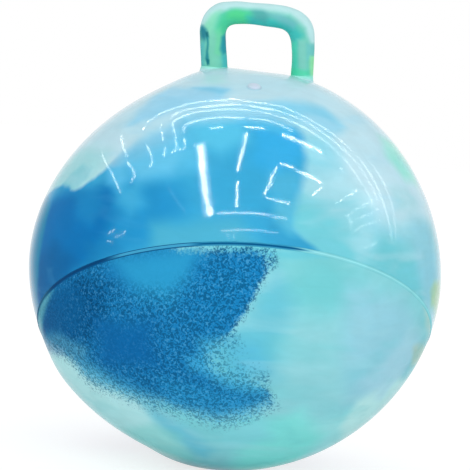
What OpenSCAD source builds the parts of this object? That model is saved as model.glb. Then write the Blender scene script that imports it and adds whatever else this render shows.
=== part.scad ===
// Hopper ball: a bouncy ride-on ball with a loop handle on top and a push-in air plug.
// Z runs up through the handle, and the origin is the middle of the flat patch it stands on.
// The plug is on the front, towards -Y, and the rider sits behind the handle, towards +Y.

/* [Ball] */
// Width of the blown-up ball
ball_w = 450; // [380:5:600]
// Height of the blown-up ball before its own weight flattens the foot
ball_h = 438; // [380:2:600]
// Fullness of the side view, where 2 is a plain ellipse and less is more conical
ball_n = 1.93; // [1.85:0.01:2.2]
// Thickness of the vinyl skin
skin_t = 1.2; // [0.8:0.1:3]
// Width of the flat patch that the ball stands on
patch_w = 64; // [40:1:100]

/* [Seam] */
// How far the seam leans back from level, low behind and high in front
seam_back_angle = 31.5; // [0:0.5:38]
// How far the seam leans to the left
seam_side_angle = 4.9; // [0:0.1:10]
// How far the seam lies below the middle of the ball
seam_drop = 75; // [0:1:90]
// Width of the welded seam band
seam_w = 4; // [2:0.5:8]
// How far the seam band stands out of the skin
seam_proud = 0.8; // [0.3:0.1:2]

/* [Handle] */
// Outside width of the handle
handle_w = 124; // [110:1:160]
// Height of the handle above the top of the ball
handle_h = 72.5; // [60:0.5:110]
// Outside diameter of the handle's tube
handle_d = 25; // [18:0.5:30]
// Wall of the hollow tube
handle_t = 2.5; // [1.5:0.1:5]
// Bend radius of the left corner, at the middle of the tube
left_bend_r = 17; // [16:0.5:25]
// Bend radius of the right corner, at the middle of the tube
right_bend_r = 22; // [16:0.5:25]
// How far each leg reaches into the ball past the skin
leg_reach = 3; // [1:0.5:10]

/* [Foot collars] */
// Wall of the collar round each leg
collar_t = 1.4; // [0.8:0.1:4]
// Height of the collar above the skin on the side of the grip
collar_rise = 1; // [0.5:0.1:6]
// How much wider the collar is at the skin than at its top
collar_flare = 2; // [0.5:0.1:6]

/* [Air plug] */
// Angle from the handle's axis forward to the plug
plug_angle = 24; // [20:0.5:40]
// Diameter of the hole that the plug closes
bore_d = 8; // [5:0.5:12]
// Gap round the stem in the bore
stem_gap = 0.05; // [0.02:0.01:0.1]
// Length of the stem under the head
stem_l = 14; // [10:0.5:25]
// Depth of the grip grooves in the stem
groove_t = 0.5; // [0.2:0.1:1]
// Number of grip grooves
groove_n = 3; // [1:1:4]
// Diameter of the plug's head
head_d = 14; // [13:0.5:20]
// Height of the head
head_t = 2.4; // [1.5:0.1:5]
// Height of the head's straight rim
rim_t = 0.8; // [0.4:0.1:1.4]

/* [Valve seat] */
// Wall of the sleeve round the bore
sleeve_t = 3; // [1.5:0.5:5]
// Length of the sleeve inside the ball
sleeve_l = 16; // [8:0.5:30]
// Diameter of the flange welded under the skin
flange_d = 30; // [26:1:45]
// Thickness of the flange under the skin
flange_t = 2; // [1:0.5:4]
// Wall of the seat where it shows round the bore
neck_t = 4; // [3:0.5:6]
// How far the seat stands out of the skin
neck_rise = 0.4; // [0.2:0.1:1.5]

/* [Hidden] */
$fn = 120;

// Steps of the ball's side view and of the plug's domed head
ball_steps = 60;
dome_steps = 6;
// Cuts run past what they cut by this much
overrun = 5;

// The ball's middle is this high above the flat patch
middle_z = ball_h / 2 * pow(1 - pow(patch_w / ball_w, ball_n), 1 / ball_n);
// Wide enough to cover the whole ball
reach = ball_w + ball_h;

leg_x = (handle_w - handle_d) / 2;
bar_z = middle_z + ball_h / 2 + handle_h - handle_d / 2;
leg_foot_z = skin_z(leg_x + handle_d / 2) - skin_t - leg_reach;

collar_r = handle_d / 2 + collar_t;
collar_foot_r = collar_r + collar_flare;
collar_top_z = skin_z(leg_x - handle_d / 2) + collar_rise;
collar_foot_z = skin_z(leg_x + collar_foot_r);

stem_r = bore_d / 2 - stem_gap;
groove_pitch = stem_l / (groove_n + 2);
seat_r = skin_r(plug_angle) + neck_rise;

// Height of the skin over a point this far from the ball's axis
function skin_z(x) = middle_z + ball_h / 2 * pow(1 - pow(2 * x / ball_w, ball_n), 1 / ball_n);

// Distance from the ball's middle to the skin at an angle from the axis
function skin_r(angle) =
    pow(pow(2 * sin(angle) / ball_w, ball_n) + pow(2 * cos(angle) / ball_h, ball_n), -1 / ball_n);

// Point of the side view, swelled by grow, at a sweep from -90 at the foot to 90 at the top
function side_point(sweep, grow) = [
    (ball_w / 2 + grow) * pow(max(0, cos(sweep)), 2 / ball_n),
    (ball_h / 2 + grow) * sign(sweep) * pow(abs(sin(sweep)), 2 / ball_n)
];

// Sweep at which the side view, swelled by grow, meets the flat patch
function patch_sweep(grow) = -asin(pow((middle_z + grow) / (ball_h / 2 + grow), ball_n / 2));

module ball_solid(grow) {
    start = patch_sweep(grow);
    translate([0, 0, middle_z])
        rotate_extrude()
            polygon(concat(
                [[0, -(middle_z + grow)]],
                [for (i = [0:ball_steps]) side_point(start + (90 - start) * i / ball_steps, grow)]
            ));
}

// A block with its underside on the seam plane, moved along the plane's normal by shift
module above_seam(shift) {
    translate([0, 0, middle_z])
        rotate([-seam_back_angle, -seam_side_angle, 0])
            translate([-reach / 2, -reach / 2, shift - seam_drop])
                cube([reach, reach, reach]);
}

// Moves a child from the ball's middle onto the axis of the plug, with Z pointing out
module on_plug_axis(distance) {
    translate([0, 0, middle_z])
        rotate([plug_angle, 0, 0])
            translate([0, 0, distance])
                children();
}

module skin() {
    difference() {
        ball_solid(0);
        ball_solid(-skin_t);
    }
}

module leg_holes() {
    for (side = [-1, 1])
        translate([side * leg_x, 0, leg_foot_z - overrun])
            cylinder(d = handle_d, h = bar_z - leg_foot_z);
}

module upper_shell() {
    color("skyblue")
        difference() {
            intersection() {
                skin();
                above_seam(seam_w / 2);
            }
            leg_holes();
            on_plug_axis(seat_r - neck_rise - skin_t - overrun)
                cylinder(r = bore_d / 2 + neck_t, h = skin_t + neck_rise + 2 * overrun);
        }
}

module lower_shell() {
    color("steelblue")
        difference() {
            skin();
            above_seam(-seam_w / 2);
        }
}

module seam_band() {
    color("midnightblue")
        difference() {
            intersection() {
                ball_solid(seam_proud);
                above_seam(-seam_w / 2);
            }
            above_seam(seam_w / 2);
            ball_solid(-skin_t);
        }
}

module tube_section() {
    difference() {
        circle(d = handle_d);
        circle(d = handle_d - 2 * handle_t);
    }
}

// One leg and its corner, on the right for side 1 and on the left for side -1
module handle_side(side, bend_r) {
    translate([side * leg_x, 0, leg_foot_z])
        linear_extrude(height = bar_z - bend_r - leg_foot_z)
            tube_section();
    translate([side * (leg_x - bend_r), 0, bar_z - bend_r])
        rotate([90, 0, side > 0 ? 0 : 180])
            rotate_extrude(angle = 90)
                translate([bend_r, 0])
                    tube_section();
}

module handle() {
    color("mediumaquamarine") {
        handle_side(-1, left_bend_r);
        handle_side(1, right_bend_r);
        translate([left_bend_r - leg_x, 0, bar_z])
            rotate([0, 90, 0])
                linear_extrude(height = 2 * leg_x - left_bend_r - right_bend_r)
                    tube_section();
    }
}

// A low ring of skin vinyl that welds a leg to the ball, flat on top and cut to the skin below
module collar(side) {
    difference() {
        translate([side * leg_x, 0, 0])
            rotate_extrude()
                polygon([
                    [handle_d / 2, collar_foot_z - overrun],
                    [collar_foot_r, collar_foot_z - overrun],
                    [collar_foot_r, collar_foot_z],
                    [collar_r, collar_top_z],
                    [handle_d / 2, collar_top_z]
                ]);
        ball_solid(0);
    }
}

module left_collar() {
    color("paleturquoise") collar(-1);
}

module right_collar() {
    color("paleturquoise") collar(1);
}

module valve_seat() {
    color("whitesmoke")
        difference() {
            union() {
                on_plug_axis(seat_r - neck_rise - skin_t - flange_t)
                    cylinder(r = bore_d / 2 + neck_t, h = flange_t + skin_t + neck_rise);
                intersection() {
                    on_plug_axis(seat_r - neck_rise - skin_t - flange_t)
                        cylinder(d = flange_d, h = flange_t + overrun);
                    ball_solid(-skin_t);
                }
                on_plug_axis(seat_r - sleeve_l)
                    cylinder(r = bore_d / 2 + sleeve_t, h = sleeve_l - neck_rise);
            }
            on_plug_axis(seat_r - sleeve_l - overrun)
                cylinder(d = bore_d, h = sleeve_l + 2 * overrun);
        }
}

// Half of the plug's outline: the domed head, then the grooved stem down to its tip
plug_outline = concat(
    [for (i = [0:dome_steps])
        [head_d / 2 * sin(90 * i / dome_steps), rim_t + (head_t - rim_t) * cos(90 * i / dome_steps)]],
    [[head_d / 2, 0], [stem_r, 0]],
    [for (i = [1:groove_n], step = [0, 1, 2, 3])
        [step % 3 == 0 ? stem_r : stem_r - groove_t, -(i + (step < 2 ? 0 : 1 / 2)) * groove_pitch]],
    [[stem_r, groove_t - stem_l], [stem_r - groove_t, -stem_l], [0, -stem_l]]
);

module plug() {
    color("lavender")
        on_plug_axis(seat_r)
            rotate_extrude()
                polygon(plug_outline);
}

upper_shell();
lower_shell();
seam_band();
handle();
left_collar();
right_collar();
valve_seat();
plug();
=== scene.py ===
import bpy
import math
import numpy as np
from mathutils import Matrix, Vector, noise


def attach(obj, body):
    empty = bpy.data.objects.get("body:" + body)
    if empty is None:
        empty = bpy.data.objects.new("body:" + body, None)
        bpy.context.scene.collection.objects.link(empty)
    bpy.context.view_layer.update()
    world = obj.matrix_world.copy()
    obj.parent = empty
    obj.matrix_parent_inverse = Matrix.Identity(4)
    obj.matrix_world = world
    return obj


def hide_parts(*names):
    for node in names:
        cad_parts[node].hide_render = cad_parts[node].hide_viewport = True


noise.seed_set(8)             # without it the painted edges would drift another way on each run

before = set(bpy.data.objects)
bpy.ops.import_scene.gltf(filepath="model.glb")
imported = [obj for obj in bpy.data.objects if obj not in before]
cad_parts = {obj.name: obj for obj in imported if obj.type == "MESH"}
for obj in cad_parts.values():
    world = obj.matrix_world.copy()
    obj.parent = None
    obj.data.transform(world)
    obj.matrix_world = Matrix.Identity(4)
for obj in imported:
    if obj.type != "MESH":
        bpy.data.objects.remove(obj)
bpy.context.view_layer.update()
bpy.ops.object.select_all(action='DESELECT')
print("frame loaded")

# the blown-up ball, in metres, as the solid skin has it
ball = {
    "halfWidth": 0.225,
    "halfHeight": 0.219,
    "fullness": 1.93,         # 2 would be a plain ellipse seen from the side
    "patchRadius": 0.032,     # flat foot
    "skinThickness": 0.0012,
    "cuts": 110,              # grid lines on each side of the cube that is blown up to the ball
    "holeSides": 64,
}
seam = {
    "backAngle": 31.5,        # degrees, low behind and high in front
    "sideAngle": 4.9,
    "drop": 0.075,            # below the middle of the ball
    "width": 0.004,
    "proud": 0.0004,
    "groove": 0.0003,         # depth of the groove along each edge
    "rows": 12,
    "segments": 600,
    "firstRadius": 0.2,       # of the ring that is slid out to the skin
    "slides": 12,
}
handle = {
    "legX": 0.0495,
    "tubeRadius": 0.0125,
    "wall": 0.0025,
    "height": 0.0725,         # above the top of the ball
    "reach": 0.003,           # of each leg under the skin
    "leftBend": 0.017,
    "rightBend": 0.022,
    "around": 56,
    "legSteps": 20,
    "barSteps": 20,
    "leftSteps": 14,
    "rightSteps": 16,
    "holeInset": 0.0012,      # the skin's holes are narrower than the legs, so that the collars cover their edges
    "holeDepth": 0.04,
}
valve = {
    "angle": 24,              # degrees forward of the handle
    "holeRadius": 0.008,
    "holeDepth": 0.02,
}
# the upper skin isn't quite even: its shoulders lean to the right and it rises to the handle's feet
swell = {
    "lean": 0.0103,
    "leftFoot": 0.0047,
    "rightFoot": 0.0007,
    "footSpread": 0.036,      # away from the other foot
    "gripSpread": 0.033,      # towards it
    "dip": 0.0017,            # lower again between the feet
    "dipX": 0.008,
    "dipSpread": 0.028,
    "dipStretch": 0.7,        # the dip is longer from front to back
    "plugClear": 0.012,       # left even round the plug
    "plugFade": 0.035,
    "fade": 0.06,             # starts from nothing at the seam
    "slant": 1.035,           # height gained for each length outwards, near the handle's feet
}
# the lower skin is flatter low on the left and fuller above that: metres, degrees from upright, spread
sag = {
    "places": [(-0.0044, -152, 19), (0.0024, -119, 11)],
    "fade": 0.04,             # starts from nothing at the seam
    "footFade": 0.02,         # and at the floor
}
patchShare = (ball["patchRadius"] / ball["halfWidth"]) ** ball["fullness"]
middleHeight = ball["halfHeight"] * (1 - patchShare) ** (1 / ball["fullness"])
topHeight = middleHeight + ball["halfHeight"]
barHeight = topHeight + handle["height"] - handle["tubeRadius"]
middle = Vector((0, 0, middleHeight))
seamTurn = (Matrix.Rotation(math.radians(-seam["sideAngle"]), 3, 'Y')
            @ Matrix.Rotation(math.radians(-seam["backAngle"]), 3, 'X'))
seamNormal = seamTurn @ Vector((0, 0, 1))
seamPlace = middle - seamNormal * seam["drop"]
seamHalf = seamNormal * seam["width"] / 2
plugAngle = math.radians(valve["angle"])
plugAxis = Vector((0, -math.sin(plugAngle), math.cos(plugAngle)))

# the camera stands where the photograph was taken from
photo = {
    "side": 470,
    "ballX": 235.0,           # pixel of the middle of the ball
    "ballY": 270.0,
    "ballRadius": 206.3,      # half its width in pixels
    "ballHalfHeight": 200.5,
    "distance": 7.5,          # from the middle of the ball, in ball radii
    "elevation": 5.5,
    "roll": 6.0,              # degrees clockwise
    "sensor": 36.0,
    "pastLimb": 1.5,          # how fast an outline drawn past the limb runs on round the ball
}
focalPixels = photo["ballRadius"] * math.sqrt(photo["distance"] ** 2 - 1)


def viewAxes():
    rise = math.radians(photo["elevation"])
    roll = math.radians(photo["roll"])
    toward = Vector((0, -math.cos(rise), math.sin(rise)))
    level = Vector((1, 0, 0))
    upright = toward.cross(level)
    right = level * math.cos(roll) + upright * math.sin(roll)
    up = upright * math.cos(roll) - level * math.sin(roll)
    return right, up, toward


viewRight, viewUp, viewToward = viewAxes()
cameraPlace = middle + viewToward * photo["distance"] * ball["halfWidth"]


def makeCamera():
    data = bpy.data.cameras.new("photoCamera")
    data.sensor_width = photo["sensor"]
    data.lens = focalPixels / photo["side"] * photo["sensor"]
    camera = bpy.data.objects.new("photoCamera", data)
    bpy.context.scene.collection.objects.link(camera)
    tilt = math.atan((photo["ballY"] - photo["side"] / 2) / focalPixels)
    backward = viewToward * math.cos(tilt) - viewUp * math.sin(tilt)
    upward = viewUp * math.cos(tilt) + viewToward * math.sin(tilt)
    turn = Matrix((viewRight, upward, backward)).transposed()
    camera.matrix_world = Matrix.Translation(cameraPlace) @ turn.to_4x4()
    data.clip_end = 50
    bpy.context.scene.camera = camera


makeCamera()
print("camera placed")


# forms: what is drawn on the ball is given as closed outlines in pixels of the photograph

# the same places and directions for sums over many points
ballMiddle, eye = np.array(middle), np.array(cameraPlace)
toRight, toTop, toCamera = np.array(viewRight), np.array(viewUp), np.array(viewToward)
seamSpot, seamUp = np.array(seamPlace), np.array(seamNormal)


def pixelOf(points):
    # pixels of points in space, as the camera sees them
    away = points - ballMiddle
    depth = photo["distance"] * ball["halfWidth"] - away @ toCamera
    x = photo["ballX"] + focalPixels * (away @ toRight) / depth
    y = photo["ballY"] - focalPixels * (away @ toTop) / depth
    return np.stack([x, y], axis=1)


def raysThrough(pixels):
    # directions from the camera through pixels of the photograph
    pixels = np.array(pixels, float)
    return (np.outer(pixels[:, 0] - photo["ballX"], toRight) + np.outer(photo["ballY"] - pixels[:, 1], toTop)
            - focalPixels * toCamera)


def chartOfPixels(outline):
    # flat chart round the point of the ball that faces the camera, in millimetres along the skin
    spots = np.array(outline, float) - [photo["ballX"], photo["ballY"]]
    spots[:, 1] *= -photo["ballRadius"] / photo["ballHalfHeight"]
    reach = np.hypot(spots[:, 0], spots[:, 1])
    ray = np.arctan(reach / focalPixels)
    sine = photo["distance"] * np.sin(ray)
    limb = math.pi / 2 - math.asin(1 / photo["distance"])
    angle = np.where(sine < 1, np.arcsin(np.minimum(sine, 1)) - ray, limb + (sine - 1) * photo["pastLimb"])
    scale = angle * ball["halfWidth"] * 1000 / np.maximum(reach, 1e-6)
    return spots * scale[:, None]


def chartOfPoints(points, facing=1):
    # the same chart for points on the skin, or for facing -1 the chart as seen from behind
    away = points - ballMiddle
    away[:, 2] *= ball["halfWidth"] / ball["halfHeight"]
    away /= np.linalg.norm(away, axis=1)[:, None]
    angle = np.arccos(np.clip(away @ toCamera * facing, -1, 1))
    across = away @ toRight * facing
    upward = away @ toTop
    reach = np.maximum(np.hypot(across, upward), 1e-9)
    scale = angle * ball["halfWidth"] * 1000 / reach
    return np.stack([across * scale, upward * scale], axis=1), angle


def depthInside(spots, outline):
    # distance to the outline, positive inside it
    nearest = np.full(len(spots), np.inf)
    inside = np.zeros(len(spots), bool)
    tiny = 1e-12
    for start, end in zip(outline, np.roll(outline, -1, axis=0)):
        edge = end - start
        along = np.clip(((spots - start) @ edge) / max(edge @ edge, tiny), 0, 1)
        gap = spots - start - along[:, None] * edge
        nearest = np.minimum(nearest, (gap ** 2).sum(axis=1))
        crosses = (start[1] > spots[:, 1]) != (end[1] > spots[:, 1])
        rise = edge[1] if abs(edge[1]) > tiny else tiny
        inside ^= crosses & (spots[:, 0] < start[0] + edge[0] * (spots[:, 1] - start[1]) / rise)
    return np.where(inside, 1, -1) * np.sqrt(nearest)


def smoothShare(value):
    value = np.clip(value, 0, 1)
    return value * value * (3 - 2 * value)


def mixed(first, last, share):
    return first + (last - first) * share[:, None]


def wander(points, size, seed):
    # slow flat drift that keeps the painted edges from looking ruled
    shift = Vector((seed, 2.7 * seed, -1.3 * seed))
    values = [noise.noise_vector(Vector(p) / size + shift) for p in points]
    return np.array(values)[:, :2]


def cloud(outline, feather, tint, strength=1, drift=5):
    # a soft patch of one tint, which fades over its feather and whose edge drifts
    return {"outline": outline, "feather": feather, "tint": np.array(tint, float), "strength": strength,
            "drift": drift}


def shade(outline, feather, level):
    return cloud(outline, feather, (level, level, level))


def painted(spots, base, clouds, drift, chart=None):
    # lays one soft cloud of colour over the other
    colour = np.tile(np.array(base, float), (len(spots), 1))
    for patch in clouds:
        outline = np.array(patch["outline"], float)
        if chart:
            outline = chart(outline)
        depth = depthInside(spots + drift * patch["drift"], outline)
        share = smoothShare(depth / patch["feather"] + 0.5) * patch["strength"]
        colour += (patch["tint"] - colour) * share[:, None]
    return colour


def edgeDepth(spots, covers, drift, deepest=60):
    # how deep each point lies inside the nearest of the covered areas, negative outside
    depth = np.full(len(spots), -float(deepest))
    for cover in covers:
        outline = chartOfPixels(cover["outline"])
        depth = np.maximum(depth, depthInside(spots + drift * cover["drift"], outline))
    return np.clip(depth, -deepest, deepest)


def linear(colour):
    share = np.asarray(colour, float) / 255
    return np.where(share <= 0.04045, share / 12.92, ((share + 0.055) / 1.055) ** 2.4)


def pointsOf(piece):
    flat = np.zeros(len(piece.data.vertices) * 3, np.float32)
    piece.data.vertices.foreach_get("co", flat)
    return flat.reshape(-1, 3).astype(float)


def setPoints(piece, points):
    piece.data.vertices.foreach_set("co", np.asarray(points, np.float32).ravel())
    piece.data.update()


def storeColour(piece, name, colour):
    layer = piece.data.attributes.new(name, 'FLOAT_COLOR', 'POINT')
    rgba = np.concatenate([linear(colour), np.ones((len(colour), 1))], axis=1)
    layer.data.foreach_set("color", rgba.astype(np.float32).ravel())


def storeShare(piece, name, share):
    layer = piece.data.attributes.new(name, 'FLOAT', 'POINT')
    layer.data.foreach_set("value", np.asarray(share, np.float32))


def outwards(points):
    away = points - ballMiddle
    return away / np.linalg.norm(away, axis=1)[:, None]


def pressToBall(points):
    # moves points straight out from the middle of the ball onto its even skin
    away = outwards(points)
    flat = np.hypot(away[:, 0], away[:, 1]) / ball["halfWidth"]
    tall = np.abs(away[:, 2]) / ball["halfHeight"]
    power = ball["fullness"]
    return ballMiddle + away * ((flat ** power + tall ** power) ** (-1 / power))[:, None]


def aboveSeam(points):
    return (points - seamSpot) @ seamUp


plugSpot = pressToBall(np.array([middle + plugAxis]))[0]
plugSeat = Vector(plugSpot)


def swellOf(points):
    # how far the upper skin stands out from the even ball
    away = outwards(points)
    upward = np.clip(away @ toTop, 0, 1)
    lift = swell["lean"] * (away @ toRight) * upward ** 2
    even = pressToBall(points)
    for side, rise in ((-1, swell["leftFoot"]), (1, swell["rightFoot"])):
        gapX = side * even[:, 0] - handle["legX"]
        gapX /= np.where(gapX < 0, swell["gripSpread"], swell["footSpread"])
        gap = gapX ** 2 + (even[:, 1] / swell["footSpread"]) ** 2
        lift += np.where(upward > 0, rise * np.exp(-gap), 0)
    gap = np.hypot(even[:, 0] - swell["dipX"], even[:, 1] * swell["dipStretch"]) / swell["dipSpread"]
    lift -= np.where(upward > 0, swell["dip"] * np.exp(-gap ** 2), 0)
    plugGap = np.linalg.norm(even - plugSpot, axis=1) - swell["plugClear"]
    return lift * smoothShare(plugGap / swell["plugFade"]) * smoothShare(aboveSeam(even) / swell["fade"])


def sagOf(points):
    # how far the lower skin stands out from the even ball
    away = outwards(points)
    lift = np.zeros(len(points))
    for rise, angle, spread in sag["places"]:
        turn = math.radians(angle)
        toward = toRight * math.sin(turn) + toTop * math.cos(turn)
        lift += rise * np.exp(-(np.degrees(np.arccos(np.clip(away @ toward, -1, 1))) / spread) ** 2)
    return lift * smoothShare(-aboveSeam(points) / sag["fade"]) * smoothShare(points[:, 2] / sag["footFade"])


def skinHeight(x, y):
    # height of the upper skin near its top, its swell included
    x, y = np.broadcast_arrays(np.asarray(x, float), np.asarray(y, float))
    spread = np.minimum(np.hypot(x, y) / ball["halfWidth"], 1)
    power = ball["fullness"]
    even = middleHeight + ball["halfHeight"] * (1 - spread ** power) ** (1 / power)
    lift = swellOf(np.stack([x.ravel(), y.ravel(), even.ravel()], axis=1))
    return even + lift.reshape(x.shape) * swell["slant"]


# modelling helpers

def finishPiece(name, body, replaced, angle=35):
    piece = bpy.context.object
    piece.name = name
    piece.data.name = name
    bpy.ops.object.transform_apply(location=True, rotation=True, scale=True)
    bpy.ops.object.shade_smooth_by_angle(angle=math.radians(angle))
    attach(piece, body)
    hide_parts(*replaced)
    piece.select_set(False)
    return piece


def applyModifier(kind, **settings):
    piece = bpy.context.object
    modifier = piece.modifiers.new(kind.title(), kind)
    for key, value in settings.items():
        setattr(modifier, key, value)
    bpy.ops.object.modifier_apply(modifier=modifier.name)


def thicken(wall):
    applyModifier('SOLIDIFY', thickness=wall, offset=-1)


def editMesh():
    bpy.ops.object.mode_set(mode='EDIT')
    bpy.ops.mesh.select_mode(type='VERT')
    bpy.ops.mesh.select_all(action='SELECT')


def closeEdit(merge=False):
    # turns all faces outwards and leaves edit mode
    bpy.ops.mesh.select_all(action='SELECT')
    if merge:
        bpy.ops.mesh.remove_doubles(threshold=1e-6)
    bpy.ops.mesh.normals_make_consistent(inside=False)
    bpy.ops.object.mode_set(mode='OBJECT')


def startRing(around, radius, place, turn=(0, 0, 0)):
    # an open ring in edit mode, to be drawn out
    bpy.ops.object.select_all(action='DESELECT')
    bpy.ops.mesh.primitive_circle_add(vertices=around, radius=radius, fill_type='NOTHING', location=place,
                                      rotation=turn)
    bpy.ops.object.transform_apply(location=True, rotation=True)
    editMesh()
    return bpy.context.object


def drawOut(step, count=1):
    for _ in range(count):
        bpy.ops.mesh.extrude_region_move(TRANSFORM_OT_translate={"value": step / count})


def cutAway(place, normal, keepAbove, fill=False):
    editMesh()
    bpy.ops.mesh.bisect(plane_co=place, plane_no=normal, use_fill=fill,
                        clear_inner=keepAbove, clear_outer=not keepAbove)
    bpy.ops.object.mode_set(mode='OBJECT')


def addBlownCube():
    bpy.ops.object.select_all(action='DESELECT')
    bpy.ops.mesh.primitive_cube_add(size=2, location=middle)
    bpy.ops.object.transform_apply(location=True)
    piece = bpy.context.object
    editMesh()
    bpy.ops.mesh.subdivide(number_cuts=ball["cuts"])
    bpy.ops.object.mode_set(mode='OBJECT')
    away = pointsOf(piece) - ballMiddle
    away = np.tan(away * math.pi / 4)        # evens out the grid on the round ball
    setPoints(piece, pressToBall(away + ballMiddle))


def drill(place, axis, radius, depth):
    # takes a round hole out of the active piece
    piece = bpy.context.object
    turn = Vector(axis).to_track_quat('Z', 'Y').to_euler()
    bpy.ops.object.select_all(action='DESELECT')
    bpy.ops.mesh.primitive_cylinder_add(vertices=ball["holeSides"], radius=radius, depth=depth, location=place,
                                        rotation=turn)
    tool = bpy.context.object
    tool.select_set(False)
    bpy.context.view_layer.objects.active = piece
    piece.select_set(True)
    applyModifier('BOOLEAN', operation='DIFFERENCE', object=tool, solver='EXACT')
    bpy.data.objects.remove(tool)


def pushOut(piece, liftOf):
    # moves the even skin out, or in, by its own lift
    points = pointsOf(piece)
    setPoints(piece, points + outwards(points) * liftOf(points)[:, None])


# skins

upperClouds = [
    cloud([(50, 200), (50, 180), (64, 158), (86, 144), (106, 148), (108, 166), (94, 186), (78, 196)],
          34, (158, 217, 222), strength=0.85, drift=9),
    cloud([(60, 184), (68, 173), (80, 163), (90, 166), (86, 176), (76, 188), (66, 188)],
          10, (128, 202, 213), strength=0.9, drift=3),
    cloud([(128, 122), (139, 104), (153, 91), (173, 83), (204, 84), (226, 87), (228, 99), (206, 104), (186, 105),
           (168, 110), (148, 118)], 22, (140, 208, 238), strength=0.8, drift=8),
    cloud([(194, 84), (212, 85), (229, 87.5), (222, 92), (216, 90), (200, 87)],
          12, (118, 198, 228), strength=0.75, drift=3),
    cloud([(118, 156), (136, 137), (161, 125), (187, 109), (235, 101), (290, 106), (306, 126), (260, 128),
           (200, 134), (170, 156), (140, 170)], 22, (140, 208, 235), strength=0.85, drift=7),
    cloud([(256, 110), (276, 101), (302, 100), (326, 108), (345, 125), (330, 135), (304, 126), (280, 118)],
          24, (116, 201, 232), strength=0.75, drift=8),
    cloud([(264, 124), (300, 122), (324, 134), (338, 150), (344, 172), (322, 178), (290, 172)],
          30, (134, 210, 228), strength=0.85, drift=9),
    cloud([(262, 178), (310, 172), (350, 184), (378, 218), (404, 228), (424, 222), (450, 228), (450, 330),
           (330, 280), (262, 262)], 46, (140, 206, 219), drift=9),
    cloud([(262, 206), (306, 196), (344, 222), (364, 235), (394, 242), (416, 256), (424, 292), (414, 320),
           (262, 274)], 30, (106, 196, 208), strength=0.9, drift=9),
    cloud([(352, 238), (372, 222), (384, 232), (374, 252), (356, 254)], 24, (154, 212, 226), strength=0.6),
    cloud([(412, 220), (428, 222), (440, 300), (428, 308), (416, 275)], 26, (142, 204, 222), strength=0.6),
    cloud([(392, 186), (408, 186), (420, 205), (410, 214), (395, 207)], 20, (158, 214, 224), strength=0.65),
    cloud([(380, 136), (396, 140), (412, 162), (418, 182), (406, 178), (390, 158)],
          26, (140, 234, 214), strength=0.7),
    cloud([(430, 292), (434, 284), (440, 282), (444, 296), (442, 312), (437, 320), (431, 308)],
          17, (160, 204, 162), strength=0.9, drift=6),
    # painted reflection: a mint tint just below each foot of the handle stands in for the green legs mirrored in the
    # glossy skin
    cloud([(204, 74), (224, 74), (226, 80), (214, 82), (204, 80)], 22, (168, 230, 228), strength=0.55, drift=2),
    cloud([(288, 80), (308, 82), (310, 88), (292, 88)], 22, (174, 226, 230), strength=0.4, drift=2),
]
upperCover = [
    {"outline": [(186, 118.5), (215, 118), (245, 118), (272, 119), (296, 126), (306, 138), (306, 149), (309, 160),
                 (306, 180), (300, 194), (297, 212), (295, 227), (303, 240), (322, 254), (300, 275), (180, 275),
                 (100, 290), (20, 345), (10, 300), (22, 232), (38, 204), (48, 191), (54, 186), (61, 183.5),
                 (66, 186.5), (72.5, 190), (80.5, 187), (90.5, 179.5), (99.5, 171), (109, 163), (120, 155.5),
                 (137, 147), (155, 140), (171, 132)], "drift": 4},
]
# how softly the blue ends: wide where it fades into the pale, narrow at the notch on the left
upperMelt = [
    shade([(112, 164), (132, 118), (180, 104), (200, 128), (194, 172), (140, 182)], 20, 44),
    shade([(190, 90), (310, 90), (300, 128), (262, 128), (194, 128)], 14, 28),
    shade([(285, 120), (350, 120), (350, 235), (306, 235), (284, 200)], 14, 16),
]
upperDeep = [
    cloud([(112, 168), (150, 160), (186, 200), (176, 240), (120, 256), (106, 220)], 40, (32, 143, 198)),
    cloud([(20, 330), (34, 240), (50, 200), (64, 190), (92, 190), (112, 182), (118, 200), (110, 232), (92, 262),
           (60, 285)], 34, (2, 114, 180)),
    cloud([(106, 164), (124, 158), (129, 178), (119, 190), (108, 184)], 18, (98, 194, 234), strength=0.85),
    cloud([(76, 196), (96, 188), (102, 206), (90, 222), (76, 216)], 22, (26, 136, 194), strength=0.8),
    cloud([(26, 320), (34, 262), (58, 244), (76, 262), (62, 290)], 28, (2, 100, 160), strength=0.85),
    cloud([(84, 240), (118, 236), (124, 256), (90, 268)], 22, (18, 124, 182), strength=0.7),
    cloud([(120, 156), (150, 140), (180, 128), (190, 150), (170, 176), (136, 182)],
          28, (104, 196, 232), strength=0.9),
    cloud([(184, 114), (246, 110), (250, 140), (222, 152), (192, 142)], 26, (84, 191, 227)),
    cloud([(172, 128), (198, 126), (206, 168), (180, 174)], 22, (88, 190, 228), strength=0.75),
    cloud([(152, 222), (235, 217), (256, 240), (256, 258), (152, 262)], 24, (73, 172, 204)),
    cloud([(256, 128), (290, 124), (308, 138), (304, 158), (274, 174), (252, 162)], 24, (52, 170, 224)),
    cloud([(236, 112), (276, 116), (300, 130), (290, 136), (262, 128), (238, 126)],
          14, (84, 190, 232), strength=0.7),
    cloud([(20, 330), (24, 250), (34, 215), (46, 192), (48, 208), (41, 250), (38, 290), (39, 320)],
          12, (36, 142, 178), strength=0.85),
    cloud([(118, 188), (137, 184), (144, 204), (130, 214), (116, 205)], 22, (74, 180, 222), strength=0.75),
    cloud([(270, 172), (300, 170), (306, 196), (286, 200), (268, 192)], 18, (78, 176, 212), strength=0.8),
    cloud([(262, 208), (298, 200), (300, 235), (324, 250), (276, 264)], 20, (50, 154, 198)),
    cloud([(276, 200), (302, 198), (304, 236), (290, 234), (277, 222)], 16, (90, 184, 214), strength=0.85),
]
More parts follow.
